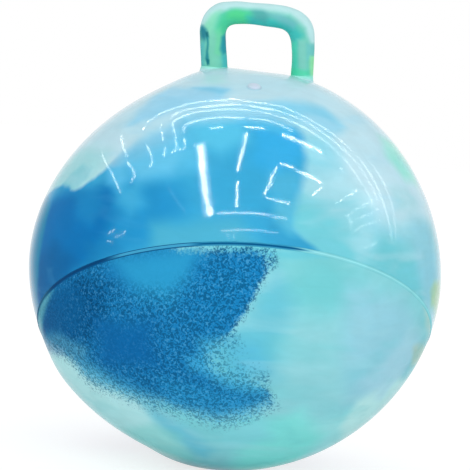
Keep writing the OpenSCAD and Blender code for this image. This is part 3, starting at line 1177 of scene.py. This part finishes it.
def newVinyl(name):
    material, tree = newMaterial(name)
    shader = addNode(tree, "ShaderNodeBsdfPrincipled")
    addNode(tree, "ShaderNodeOutputMaterial", {"Surface": shader.outputs["BSDF"]})
    return material, tree, shader, addNode(tree, "ShaderNodeTexCoord").outputs["Object"]


def stored(tree, name, socket="Fac"):
    return addNode(tree, "ShaderNodeAttribute", attribute_name=name).outputs[socket]


def mathNode(tree, operation, first, second):
    return addNode(tree, "ShaderNodeMath", {0: first, 1: second}, operation=operation).outputs[0]


def times(tree, first, second):
    return mathNode(tree, 'MULTIPLY', first, second)


def plus(tree, first, second):
    return mathNode(tree, 'ADD', first, second)


def mixColour(tree, share, first, second):
    return addNode(tree, "ShaderNodeMix", {0: share, 6: first, 7: second}, data_type='RGBA').outputs[2]


def scaleColour(tree, colour, light):
    return addNode(tree, "ShaderNodeVectorMath", {0: colour, 3: light}, operation='SCALE').outputs["Vector"]


def ramp(tree, value, low, high, first=0.0, last=1.0, kind='SMOOTHSTEP'):
    return addNode(tree, "ShaderNodeMapRange", {"Value": value, "From Min": low, "From Max": high, "To Min": first,
                                                "To Max": last}, interpolation_type=kind).outputs["Result"]


def noiseValue(tree, place, scale, detail, distortion=0.0):
    return addNode(tree, "ShaderNodeTexNoise", {"Vector": place, "Scale": scale, "Detail": detail,
                                                "Distortion": distortion}).outputs["Fac"]


def flowPlace(tree, place):
    # space drawn out along the way the mixed vinyl ran
    return addNode(tree, "ShaderNodeMapping", {"Vector": place, "Rotation": flow["turn"],
                                               "Scale": flow["stretch"]}).outputs["Vector"]


def flowLight(tree, place, low, high):
    # slow pale and dark flow lines
    broad = times(tree, noiseValue(tree, place, *flow["broad"]), flow["broadShare"])
    fine = times(tree, noiseValue(tree, flowPlace(tree, place), *flow["fine"]), 1 - flow["broadShare"])
    return ramp(tree, plus(tree, broad, fine), flow["from"], flow["to"], low, high, 'LINEAR')


def washed(tree, place, colour, washes):
    # streaks of other tints along the flow
    streaks = noiseValue(tree, flowPlace(tree, place), *flow["streaks"])
    for tint, low, high, most in washes:
        share = times(tree, ramp(tree, streaks, low, high), most)
        colour = mixColour(tree, share, colour, tuple(linear(tint)) + (1.0,))
    return colour


def warpedCover(tree, place, warps, fray=None):
    # how far inside the painted edge a place lies, from -0.5 to 0.5 across it, warped by noise
    def noiseAt(scale, detail, distortion, width):
        return times(tree, mathNode(tree, 'SUBTRACT', noiseValue(tree, place, scale, detail, distortion), 0.5), width)

    edge = stored(tree, "edge")
    for scale, width in warps:
        edge = plus(tree, edge, noiseAt(scale, 3.0, 1.0, width))
    share = mathNode(tree, 'DIVIDE', edge, stored(tree, "melt"))
    return plus(tree, share, noiseAt(fray[0], 1.0, 0.6, fray[1])) if fray else share


def rimWeight(tree, low, high, inside, rim):
    # a weight that rises to the ball's rim
    facing = addNode(tree, "ShaderNodeLayerWeight", {"Blend": 0.5}).outputs["Facing"]
    return ramp(tree, facing, low, high, inside, rim)


def bumpOf(tree, height, strength, depth):
    return addNode(tree, "ShaderNodeBump", {"Height": height, "Strength": strength,
                                            "Distance": depth}).outputs["Normal"]


def glossyVinyl(name, coat, coatRough):
    # vinyl with a wet-looking face and a slight orange peel
    material, tree, shader, place = newVinyl(name)
    peel = noiseValue(tree, place, gloss["peel"], 1.0)
    feed(tree, shader, {
        "Roughness": gloss["rough"],
        "Specular IOR Level": 0.0,
        "Coat Weight": coat,
        "Coat Roughness": coatRough,
        "Coat IOR": gloss["ior"],
        "Coat Normal": bumpOf(tree, peel, gloss["peelStrength"], gloss["peelDepth"]),
    })
    return material, tree, shader, place


def makeUpperVinyl():
    material, tree, shader, place = glossyVinyl("upperVinyl", gloss["coat"], gloss["coatRough"])
    pale = washed(tree, place, stored(tree, "marble", "Color"), upperFinish["pale"])
    deep = washed(tree, place, stored(tree, "pigment", "Color"), upperFinish["deep"])
    share = ramp(tree, warpedCover(tree, place, upperFinish["warps"]), -0.5, 0.5)
    light = flowLight(tree, place, *gloss["light"])
    feed(tree, shader, {
        "Base Color": scaleColour(tree, mixColour(tree, share, pale, deep), light),
        "Coat Weight": rimWeight(tree, gloss["rimFrom"], gloss["rimTo"], gloss["coat"], gloss["rimCoat"]),
    })
    return material


def makeLowerVinyl():
    material, tree, shader, place = newVinyl("lowerVinyl")
    pigment = stored(tree, "pigment", "Color")
    grain = noiseValue(tree, place, *lowerFinish["grain"])
    share = warpedCover(tree, place, lowerFinish["warps"], lowerFinish["fray"])
    covered = ramp(tree, share, -0.5, 0.5)

    def specks(name, where):
        low, high, most = lowerFinish[name]
        return times(tree, times(tree, ramp(tree, grain, low, high), times(tree, stored(tree, "speck"), where)), most)

    pale = washed(tree, place, stored(tree, "marble", "Color"), lowerFinish["pale"])
    colour = mixColour(tree, covered, pale, pigment)
    colour = mixColour(tree, specks("darkSpecks", ramp(tree, share, lowerFinish["near"], 0.0)), colour,
                       scaleColour(tree, pigment, lowerFinish["darkLevel"]))
    colour = mixColour(tree, specks("paleSpecks", covered), colour,
                       mixColour(tree, lowerFinish["paleShare"], pigment, lowerFinish["paleTint"]))
    feed(tree, shader, {
        "Base Color": scaleColour(tree, colour, flowLight(tree, place, *lowerFinish["light"])),
        "Roughness": lowerFinish["rough"],
        "Specular IOR Level": lowerFinish["specular"],
        "Coat Weight": rimWeight(tree, *lowerFinish["rim"]),
        "Coat Roughness": lowerFinish["coatRough"],
        "Normal": bumpOf(tree, grain, lowerFinish["grainStrength"], lowerFinish["grainDepth"]),
    })
    return material


def makeMarbledVinyl(name):
    material, tree, shader, place = glossyVinyl(name, *coats[name])
    light = flowLight(tree, place, *gloss["light"])
    feed(tree, shader, {"Base Color": scaleColour(tree, stored(tree, "marble", "Color"), light)})
    return material


def makePlainVinyl(name):
    # one colour drifting into a near one
    material, tree, shader, place = newVinyl(name)
    share = ramp(tree, noiseValue(tree, place, *plainFinish["drift"]), 0.3, 0.7)
    marks = noiseValue(tree, place, *plainFinish["marks"])
    feed(tree, shader, {
        "Base Color": mixColour(tree, share, *(tuple(linear(tint)) + (1.0,) for tint in plainFinish[name])),
        "Roughness": plainFinish["rough"],
        "Specular IOR Level": plainFinish["specular"],
        "Coat Weight": plainFinish["coat"],
        "Coat Roughness": plainFinish["coatRough"],
        "Normal": bumpOf(tree, marks, plainFinish["markStrength"], plainFinish["markDepth"]),
    })
    return material


def wear(material, *pieces):
    for piece in pieces:
        piece.data.materials.clear()
        piece.data.materials.append(material)


wear(makeUpperVinyl(), upperSkin)
wear(makeLowerVinyl(), lowerSkin)
wear(makeMarbledVinyl("seamVinyl"), seamBead)
wear(makeMarbledVinyl("handleVinyl"), loopHandle)
wear(makeMarbledVinyl("collarVinyl"), leftCollar, rightCollar)
wear(makePlainVinyl("valveVinyl"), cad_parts["valve_seat"])
wear(makePlainVinyl("plugVinyl"), airPlug)
print("materials made")


# studio: a white floor and surround, soft lamps, and the narrow tubes that the glossy skin mirrors

studio = {
    "worldLight": 0.76,
    "floorSize": 40.0,
    "floorLight": 0.9,        # as the object sees the floor
    "floorGlow": 0.74,        # as the camera sees it, with the shadow on its shade
    "floorShade": 0.38,
    "lamps": [                # name, place, what it faces, width, height and power
        ("softKey", (-1.4, -1.6, 2.4), middle, 1.6, 1.6, 10),
        ("softFill", (1.8, -1.4, 1.6), middle, 1.6, 1.6, 7),
        ("lowFill", (0.2, -2.4, 0.3), (0, 0, 0.1), 1.8, 0.5, 13),
    ],
    "tubeDistance": 3.0,      # from the skin that mirrors them
}


def grey(level):
    return (level, level, level, 1)


def showWhite(tree, lit, white):
    # the object is lit by one shader, and the camera and mirroring skin see the other
    rays = addNode(tree, "ShaderNodeLightPath")
    seen = mathNode(tree, 'MAXIMUM', rays.outputs["Is Camera Ray"], rays.outputs["Is Glossy Ray"])
    seen = mathNode(tree, 'MAXIMUM', seen, rays.outputs["Is Transmission Ray"])
    return addNode(tree, "ShaderNodeMixShader", {0: seen, 1: lit.outputs[0], 2: white.outputs[0]}).outputs[0]


def makeWorld():
    world = bpy.data.worlds.new("studioWorld")
    world.use_nodes = True
    tree = world.node_tree
    tree.nodes.clear()
    lit = addNode(tree, "ShaderNodeBackground", {"Color": grey(1), "Strength": studio["worldLight"]})
    white = addNode(tree, "ShaderNodeBackground", {"Color": grey(1), "Strength": 1.0})
    addNode(tree, "ShaderNodeOutputWorld", {"Surface": showWhite(tree, lit, white)})
    bpy.context.scene.world = world


def makeFloor():
    bpy.ops.object.select_all(action='DESELECT')
    bpy.ops.mesh.primitive_plane_add(size=studio["floorSize"], location=(0, 0, 0))
    floor = bpy.context.object
    floor.name = "studio_floor"
    material, tree = newMaterial("floorPaint")
    plain = addNode(tree, "ShaderNodeBsdfDiffuse", {"Color": grey(studio["floorLight"])})
    shaded = addNode(tree, "ShaderNodeBsdfDiffuse", {"Color": grey(studio["floorShade"])})
    glow = addNode(tree, "ShaderNodeEmission", {"Color": grey(1), "Strength": studio["floorGlow"]})
    bright = addNode(tree, "ShaderNodeAddShader", {0: shaded.outputs[0], 1: glow.outputs[0]})
    addNode(tree, "ShaderNodeOutputMaterial", {"Surface": showWhite(tree, plain, bright)})
    wear(material, floor)


def addLamp(name, place, turn, width, height, power):
    data = bpy.data.lights.new(name, 'AREA')
    data.shape = 'RECTANGLE'
    data.size, data.size_y, data.energy = width, height, power
    lamp = bpy.data.objects.new(name, data)
    bpy.context.scene.collection.objects.link(lamp)
    lamp.matrix_world = Matrix.Translation(place) @ turn.to_4x4()
    lamp.visible_camera = False
    return lamp


def aboveSkin(points):
    reach = np.linalg.norm(points - ballMiddle, axis=1)
    return reach - np.linalg.norm(pressToBall(points) - ballMiddle, axis=1) - swellOf(points)


def mirrored(pixel):
    # where on the ball a pixel lies, its outward direction, and the way the camera's ray leaves it
    ray = raysThrough([pixel])[0]
    ray /= np.linalg.norm(ray)
    nudge = 1e-5
    nudges = np.concatenate([np.zeros((1, 3)), np.eye(3) * nudge])
    reach = (photo["distance"] - 1) * ball["halfWidth"]
    for _ in range(20):                       # closes in on the skin along the ray
        values = aboveSkin(eye + ray * reach + nudges)
        outward = (values[1:] - values[0]) / nudge
        reach -= values[0] / min(outward @ ray, -0.01)
    outward /= np.linalg.norm(outward)
    return Vector(eye + ray * reach), Vector(outward), Vector(ray - 2 * (ray @ outward) * outward)


def mirrorShare(cosine):
    # how much the coat mirrors at this angle
    ior = gloss["ior"]
    inner = math.sqrt(1 - (1 - cosine ** 2) / ior ** 2)
    level = ((cosine - ior * inner) / (cosine + ior * inner)) ** 2
    steep = ((inner - ior * cosine) / (inner + ior * cosine)) ** 2
    return gloss["coat"] * (level + steep) / 2


def addTube(name, first, last, width, shine):
    # a lamp tube whose mirror image on the ball runs from one pixel to the other
    distance = studio["tubeDistance"]
    (spotA, outA, rayA), (spotB, outB, rayB) = mirrored(first), mirrored(last)
    endA, endB = spotA + rayA * distance, spotB + rayB * distance
    centre = (endA + endB) / 2
    along = (endB - endA).normalized()
    back = (centre - (spotA + spotB) / 2).normalized()
    back = (back - along * back.dot(along)).normalized()
    run = np.array(last, float) - first
    aside = np.array([-run[1], run[0]]) / np.hypot(*run) * width / 2
    halfway = (np.array(first, float) + last) / 2
    near, far = (spot + ray * distance for spot, _, ray in (mirrored(halfway - aside), mirrored(halfway + aside)))
    length, breadth = (endB - endA).length, (far - near - along * (far - near).dot(along)).length
    facing = max((outA + outB).normalized().dot(rayA), 0.15)
    peak = math.erf(width / (2 * math.sqrt(2) * gloss["blur"]))      # what the coat's blur leaves of the shine
    power = shine / peak / mirrorShare(facing) * length * breadth * math.pi
    lamp = addLamp(name, centre, Matrix((along, back.cross(along), back)).transposed(), length, breadth, power)
    lamp.visible_diffuse = False
    lamp.light_linking.receiver_collection = tubeSide


tubeSide = bpy.data.collections.new("litByTubes")
tubeSide.objects.link(upperSkin)

# each lamp tube: the line of pixels along which it is mirrored, the width in pixels and the shine
tubes = [
    ([(199.9, 145), (201.6, 162), (203.8, 180), (206.4, 197), (210, 215.5)], 4.6, 0.72),
    ([(200.6, 143.5), (201.8, 157), (203.4, 171)], 7.6, 0.32),
    ([(200.4, 142), (203.2, 174), (209.4, 216)], 11, 0.15),
    ([(247, 132), (243.5, 149)], 2.2, 0.85),
    ([(243, 150), (238, 171)], 2.4, 0.85),
    ([(246.5, 133), (238.5, 170)], 6, 0.1),
    ([(237.5, 181), (236.5, 207)], 1.9, 0.8),
    ([(237.5, 182), (236.6, 206)], 5, 0.06),
    ([(277, 167), (272, 176), (269, 183), (264, 196)], 1.8, 0.75),
    ([(273, 180), (270, 187)], 1.8, 0.5),
    ([(265, 198), (280, 201), (290, 203.5)], 1.5, 0.6),
    ([(280, 164), (294, 168)], 1.8, 0.75),
    ([(297, 171), (310, 176), (321, 183)], 2.0, 0.8),
    ([(322, 186), (312, 197)], 1.6, 0.5),
    ([(282, 134.5), (302, 142.5), (322, 152.5)], 2.0, 0.7),
    ([(283, 135), (302, 142.5), (321, 152)], 5.5, 0.1),
    ([(245, 127.5), (265, 128.5)], 1.5, 0.75),
    ([(210, 128.5), (213, 127.6)], 1.3, 0.4),
    ([(214, 127.2), (223.5, 126.8)], 1.4, 0.7),
    ([(217, 213), (240, 212.5), (268, 215), (287, 219.5)], 1.3, 0.4),
    ([(220, 231), (250, 230), (277, 233)], 1.1, 0.22),
    ([(214, 199), (214.5, 205)], 1.0, 0.12),
    ([(227.5, 233), (228, 240)], 1.2, 0.1),
    ([(234.5, 232), (234.7, 239)], 1.2, 0.12),
    ([(168, 187), (185, 212)], 2.4, 0.03),
    ([(102, 154), (112, 173), (121, 192)], 1.3, 0.45),
    ([(121, 136), (127, 157)], 2.0, 0.65),
    ([(128, 162), (133, 170), (135, 176)], 1.6, 0.45),
    ([(135, 176), (131, 182)], 1.4, 0.3),
    ([(147, 145), (152, 158)], 1.6, 0.5),
    ([(152.5, 160), (153, 164), (149, 166)], 1.3, 0.4),
    ([(160.5, 124), (161, 129)], 1.3, 0.4),
    ([(161.5, 132), (163, 141)], 1.6, 0.5),
    ([(165, 147), (164, 157)], 1.4, 0.4),
    ([(172.5, 122), (174.5, 133)], 1.5, 0.45),
    ([(175.5, 136), (177, 149), (172, 153)], 1.4, 0.4),
    ([(184, 126), (183, 133)], 1.4, 0.45),
    ([(184, 136), (185.5, 147), (178, 150)], 1.3, 0.38),
    ([(109, 233), (117, 227)], 1.1, 0.28),
    ([(115, 238), (125, 232)], 1.1, 0.28),
    ([(107.5, 240), (111.5, 243.5)], 1.1, 0.16),
    ([(335, 204), (357, 190)], 1.4, 0.24),
    ([(341, 168), (343, 170)], 2.0, 0.3),
    ([(143, 130), (144, 126)], 1.8, 0.4),
    ([(147, 122), (160, 113.5), (174, 108), (188, 103.5), (205, 101)], 1.2, 0.26),
    ([(205, 101), (222, 100.3), (245, 100.5), (268, 103.5)], 1.4, 0.4),
    ([(268, 103.5), (290, 110), (308, 118), (328, 130), (345, 144)], 1.2, 0.26),
    ([(345, 144), (362, 162), (374, 180), (380, 196)], 1.2, 0.2),
    ([(170, 117), (184, 110), (200, 107)], 1.2, 0.26),
    ([(200, 107), (220, 105), (250, 105.5), (274, 109.5)], 1.6, 0.42),
    ([(274, 109.5), (300, 119), (322, 132), (340, 146)], 1.2, 0.24),
    ([(340, 146), (358, 164), (370, 184), (378, 202)], 1.2, 0.16),
    ([(173, 121), (186, 114.5), (205, 111), (235, 109), (262, 112)], 1.2, 0.3),
    ([(262, 112), (284, 118), (306, 128), (326, 142)], 1.2, 0.24),
    ([(326, 142), (348, 163), (364, 188), (374, 206)], 1.2, 0.13),
    ([(185, 125), (196, 120.5), (212, 118), (240, 117.5)], 1.5, 0.4),
    ([(240, 117.5), (266, 120), (284, 126), (294, 131)], 1.2, 0.26),
    ([(372, 165), (385, 184), (392, 205), (395, 240)], 1.2, 0.14),
    ([(381, 196), (388, 218), (391, 238)], 1.2, 0.16),
    ([(346, 216), (373, 200)], 1.3, 0.13),
    ([(350, 223), (378, 209)], 1.3, 0.12),
    ([(354, 231), (381, 219)], 1.3, 0.12),
    ([(357, 250), (378, 243)], 1.3, 0.1),
    ([(347, 213), (352, 234)], 1.2, 0.1),
    ([(360, 212), (366, 228), (372, 246)], 14, 0.025),
    ([(364, 194), (376, 210), (384, 226)], 14, 0.03),
]

makeWorld()
makeFloor()
for name, place, target, width, height, power in studio["lamps"]:
    turn = (Vector(place) - Vector(target)).to_track_quat('Z', 'Y').to_matrix()
    addLamp(name, place, turn, width, height, power).visible_glossy = False
for number, (line, width, shine) in enumerate(tubes):
    for part, (first, last) in enumerate(zip(line, line[1:])):
        addTube(f"tube{number}_{part}", first, last, width, shine)
print("studio lit")

bpy.context.scene.view_settings.view_transform = 'Standard'
